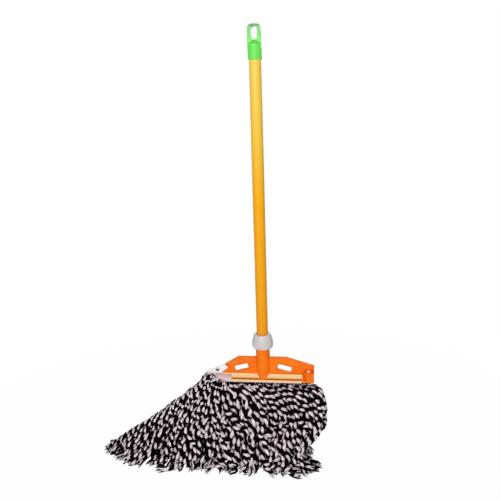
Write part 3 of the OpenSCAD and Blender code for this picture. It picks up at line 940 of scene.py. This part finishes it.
class TwineTree:
    """Geometry Nodes that lay a two-lobed twisted skin along every run of points."""

    # How far up the way out of the fan points
    LIFT = 0.35

    def __init__(self, material: bpy.types.Material) -> None:
        """Builds the tree, with its sizes as named inputs.

        Args:
            material: The skin's material.
        """
        tree = bpy.data.node_groups.new("twisted_twine", "GeometryNodeTree")
        self.tree = tree
        face = tree.interface
        face.new_socket("Geometry", in_out="INPUT", socket_type="NodeSocketGeometry")
        sides = face.new_socket("Sides", in_out="INPUT", socket_type="NodeSocketInt")
        lobe = face.new_socket("Lobe", in_out="INPUT", socket_type="NodeSocketFloat")
        face.new_socket("Geometry", in_out="OUTPUT", socket_type="NodeSocketGeometry")
        self.keys = {"Sides": sides.identifier, "Lobe": lobe.identifier}
        sheet = self.sheet = NodeSheet(tree)
        given = sheet.add("NodeGroupInput")
        place = sheet.add("GeometryNodeInputPosition")
        rail = sheet.add("GeometryNodeMeshToCurve", {"Mesh": given})
        rail = self.store(rail, "centre", place, "FLOAT_VECTOR")
        circle = {"Resolution": given.out("Sides"), "Radius": 1.0}
        ring = sheet.add("GeometryNodeCurvePrimitiveCircle", circle)
        around = sheet.add("GeometryNodeInputIndex") * TURN / given.out("Sides")
        sweep = {"Curve": rail, "Profile Curve": self.store(ring, "around", around),
                 "Scale": self.read("girth"), "Fill Caps": True}
        skin = sheet.add("GeometryNodeCurveToMesh", sweep)
        angle = self.read("around") - self.read("turn")
        centre = self.read("centre", "FLOAT_VECTOR")
        swell = (angle * 2).cos() * given.out("Lobe") + 1
        arm = sheet.vector("SUBTRACT", place, centre)
        spot = sheet.vector("ADD", centre, sheet.vector("SCALE", arm, swell))
        skin = sheet.add("GeometryNodeSetPosition", {"Geometry": skin, "Position": spot})
        skin = self.store(self.store(skin, "ply", angle.cos()), "skew", angle.sin())
        outward = self.read("outward")
        way = sheet.add("ShaderNodeCombineXYZ", {0: outward.cos(), 1: outward.sin(), 2: self.LIFT})
        normal = sheet.vector("NORMALIZE", arm, (0.0, 0.0, 0.0))
        # crest: how far the skin faces out of the fan, which the yarn's finish turns into painted shade
        skin = self.store(skin, "crest", sheet.vector("DOT_PRODUCT", normal, way, "Value"))
        for spare in ("centre", "around", "turn", "girth", "outward"):
            skin = sheet.add("GeometryNodeRemoveAttribute", {"Geometry": skin, "Name": spare})
        for kind in ("GeometryNodeSetShadeSmooth", "GeometryNodeRealizeInstances"):
            skin = sheet.add(kind, {"Geometry": skin})
        skin = sheet.add("GeometryNodeSetMaterial", {"Geometry": skin, "Material": material})
        sheet.add("NodeGroupOutput", {0: skin})

    def store(self, shape: Term, name: str, value: Term, kind: str = "FLOAT") -> Term:
        """Keeps a value of one kind on a shape's points, under a name."""
        values = {"Geometry": shape, "Name": name, "Value": value}
        return self.sheet.add("GeometryNodeStoreNamedAttribute", values, data_type=kind,
                              domain="POINT")

    def read(self, name: str, kind: str = "FLOAT") -> Term:
        """Reads an attribute by name."""
        return self.sheet.add("GeometryNodeInputNamedAttribute", {"Name": name}, data_type=kind)

    def skin(self, name: str, runs: dict[str, Array], sides: int, lobe: float) -> bpy.types.Mesh:
        """Runs the tree over some runs of points.

        Args:
            name: Name of the mesh.
            runs: The points, edges and attributes.
            sides: Sides of the skin.
            lobe: How far the two plies stand out, as a share of the half width.

        Returns:
            The skin as a plain mesh.
        """
        rail = bpy.data.meshes.new(name + "_rail")
        rail.vertices.add(len(runs["points"]))
        rail.vertices.foreach_set("co", runs["points"].astype(np.float32).ravel())
        rail.edges.add(len(runs["edges"]))
        rail.edges.foreach_set("vertices", runs["edges"].astype(np.int32).ravel())
        for key in YARN_ATTRIBUTES:
            made = rail.attributes.new(key, "FLOAT", "POINT")
            made.data.foreach_set("value", runs[key].astype(np.float32))
        holder = put(name + "_rail", rail)
        modifier = holder.modifiers.new("twine", "NODES")
        modifier.node_group = self.tree
        modifier[self.keys["Sides"]] = sides
        modifier[self.keys["Lobe"]] = lobe
        graph = bpy.context.evaluated_depsgraph_get()
        mesh = bpy.data.meshes.new_from_object(holder.evaluated_get(graph))
        holder.modifiers.clear()
        bpy.data.objects.remove(holder)
        bpy.data.meshes.remove(rail)
        return mesh


# ---- Sub-assemblies ----


@dataclass
class Handle:
    """The tube, the plug in its lower end and the hanging cap."""

    nodes: Nodes
    finishes: Finishes

    def build(self) -> None:
        """Dresses the handle's nodes."""
        made = self.finishes
        paint(self.nodes, {"handle_tube": made.tube, "tube_plug": made.plug, "hang_cap": made.cap})
        log.info("handle dressed")


@dataclass
class Clamp:
    """The two jaws, their hinge and latch, and the lock nut with its collet."""

    nodes: Nodes
    finishes: Finishes

    def build(self) -> None:
        """Dresses the clamp's nodes."""
        made = self.finishes
        paint(self.nodes, {"front_jaw": made.orange, "rear_jaw": made.orange, "lock_nut": made.nut,
                           "collet": made.nut, "hinge_pin": made.steel, "pin_washer": made.steel,
                           "latch_pin": made.dark_steel, "latch_tab": made.latch})
        log.info("clamp dressed")


@dataclass
class Headband:
    """The cloth band that is sewn over the tops of the strands and held in the clamp."""

    finishes: Finishes
    stations: int = 150
    ripple: float = 0.0004
    ridge_half: float = 0.0025
    shoulder: float = 0.0118
    pinch: float = 0.004
    narrowest: float = 0.65
    waves: tuple[float, float] = (420, 1130)

    def section(self, half: float, low: float, high: float, shoulder: float) -> Array:
        """The band's outline across its length.

        Args:
            half: Half its thickness.
            low: Its lower edge.
            high: Its ridge.
            shoulder: Height where its sides turn in towards the ridge.

        Returns:
            The outline's points, y and z, counter-clockwise.
        """
        corner = half * 0.35
        points = [(-half + corner * (1 - math.cos(a)), low + corner * (1 - math.sin(a)))
                  for a in np.linspace(0, math.pi / 2, 5)]
        points += [(y, low) for y in np.linspace(-half * 0.5, half * 0.5, 5)]
        points += [(-y, z) for y, z in points[4::-1]]
        side = np.linspace(0, 1, 5)[1:]
        points += [(half, low + corner + (shoulder - low - corner) * s) for s in side]
        ridge = self.ridge_half
        points += [(half + (ridge - half) * s, shoulder + (high - shoulder) * s) for s in side]
        points += [(-ridge + (-half + ridge) * s, high + (shoulder - high) * s)
                   for s in np.linspace(0, 1, 5)]
        points += [(-half, shoulder + (low + corner - shoulder) * s) for s in side[:-1]]
        return np.array(points)

    def build(self) -> None:
        """Makes the band's cloth, which carries its rows of stitches."""
        low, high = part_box("headband")
        half = high[1] - 0.0001
        section = self.section(half, low[2] + 0.0002, high[2] - 0.0002, low[2] + self.shoulder)
        xs = np.linspace(low[0], high[0], self.stations)
        rings = []
        for x in xs:
            end = min(x - xs[0], xs[-1] - x)
            pinch = math.sqrt(max(1 - (1 - min(end / self.pinch, 1)) ** 2, 0))
            pinch = pinch * (1 - self.narrowest) + self.narrowest
            wave = self.ripple * (math.sin(x * self.waves[0]) + math.sin(x * self.waves[1] + 2))
            ring = section.copy()
            ring[:, 0] *= pinch
            ring[:, 1] = low[2] + (ring[:, 1] - low[2]) * (0.9 + 0.1 * pinch)
            outer = np.abs(ring[:, 0]) > half * 0.6
            ring[outer, 0] -= np.sign(ring[outer, 0]) * abs(wave)
            rings.append(np.column_stack([np.full(len(ring), x), ring]))
        points = np.concatenate(rings)
        n = len(section)
        faces = [(a + j, a + n + j, a + n + (j + 1) % n, a + (j + 1) % n)
                 for a in range(0, (self.stations - 1) * n, n) for j in range(n)]
        faces.append(tuple(range(n)))
        faces.append(tuple(reversed(range((self.stations - 1) * n, self.stations * n))))
        mesh = bpy.data.meshes.new("headband_cloth")
        mesh.from_pydata(points.tolist(), [], faces)
        mesh.validate()
        turn_out(mesh)
        mesh.shade_smooth()
        made = piece("headband_cloth", mesh, self.finishes.tape)
        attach(made, "clamp")
        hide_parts("headband")
        log.info("headband made, %d faces", len(mesh.polygons))


@dataclass
class Refill:
    """The yarn below the headband, one piece for each lock."""

    finishes: Finishes
    rounds: int
    sides: int = 8
    lobe: float = 0.16

    def build(self) -> None:
        """Makes the strands and gives them to the clamp."""
        low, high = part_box("headband")
        fan = YarnFan(left=-low[0], right=high[0], band_half=high[1])
        rng = np.random.default_rng(SEED)
        locks = fan.strands(rng, self.rounds)
        tree = TwineTree(self.finishes.yarn)
        for lock in sorted(locks):
            mesh = tree.skin(lock + "_strands", locks[lock], self.sides, self.lobe)
            one = piece(lock + "_strands", mesh, self.finishes.yarn)
            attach(one, "clamp")
            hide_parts(lock)
            log.info("%s: %d faces", one.name, len(mesh.polygons))


@dataclass
class Studio:
    """Camera, lights, floor and backdrop."""

    focal: float = 50.4
    distance: float = 1.4389
    height: float = 0.8665
    azimuth: float = 7.6
    pitch: float = 14.73
    roll: float = -1.75
    aside: float = -0.0215
    aim_z: float = 0.4
    daylight: float = 0.24

    def camera(self) -> None:
        """Sets up the camera."""
        data = bpy.data.cameras.new("camera")
        data.lens = self.focal
        data.sensor_width = 36
        data.clip_end = 60
        camera = put("camera", data)
        a = math.radians(self.azimuth)
        spot = Matrix.Translation((
            self.distance * math.sin(a) + self.aside * math.cos(a),
            -self.distance * math.cos(a) + self.aside * math.sin(a), self.height))
        turn = Matrix.Rotation(a, 4, "Z") @ Matrix.Rotation(math.radians(90 - self.pitch), 4, "X")
        camera.matrix_world = spot @ turn @ Matrix.Rotation(math.radians(self.roll), 4, "Z")
        bpy.context.scene.camera = camera

    def lamp(self, name: str, spot: tuple[float, float, float], size: float, power: float) -> None:
        """Hangs a square soft light at a spot, facing the mop, with its side and its watts."""
        data = bpy.data.lights.new(name, "AREA")
        data.size = size
        data.energy = power
        lamp = put(name, data)
        aim = Vector((0, 0, self.aim_z)) - Vector(spot)
        lamp.matrix_world = Matrix.Translation(spot) @ aim.to_track_quat("-Z", "Y").to_matrix().to_4x4()

    def sky(self) -> None:
        """Makes the world white to the eye and a plain soft light otherwise."""
        world = bpy.data.worlds.new("studio_white")
        world.use_nodes = True
        world.node_tree.nodes.clear()
        bpy.context.scene.world = world
        sheet = NodeSheet(world.node_tree)
        path = sheet.add("ShaderNodeLightPath")
        seen = path.out("Is Camera Ray").do("MAXIMUM", path.out("Is Glossy Ray"))
        seen = seen.do("MAXIMUM", path.out("Is Transmission Ray"))
        strength = seen * (1 - self.daylight) + self.daylight
        sky = sheet.add("ShaderNodeBackground", {"Color": Dye.PURE_WHITE, "Strength": strength})
        sheet.add("ShaderNodeOutputWorld", {"Surface": sky})

    def build(self) -> None:
        """Sets up the whole studio."""
        self.camera()
        self.lamp("key", (-0.2, -2.8, 1.25), 0.7, 50)
        self.lamp("fill", (1.9, -1.4, 1.2), 1.4, 3)
        self.lamp("top", (0.2, 0.8, 2.6), 1.6, 9)
        self.lamp("back", (0.3, 2.8, 1.3), 1.2, 24)
        self.sky()
        mesh = bpy.data.meshes.new("floor")
        corners = [(x, y, -0.0002) for x, y in ((-6, -4), (6, -4), (6, 12), (-6, 12))]
        mesh.from_pydata(corners, [], [(0, 1, 2, 3)])
        floor = piece("floor", mesh, WhiteFloor("white_floor").material())
        bpy.context.scene.view_settings.view_transform = "Standard"
        log.info("studio ready")


def main() -> None:
    """Builds the mop's looks in order."""
    logging.basicConfig(level=logging.INFO, format="%(message)s")
    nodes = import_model()["nodes"]
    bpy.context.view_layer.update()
    finishes = Finishes()
    Studio().build()
    Handle(nodes, finishes).build()
    Clamp(nodes, finishes).build()
    Headband(finishes).build()
    Refill(finishes, rounds=SETTLING_PASSES).build()
    bpy.context.view_layer.update()


if __name__ == "__main__":
    main()
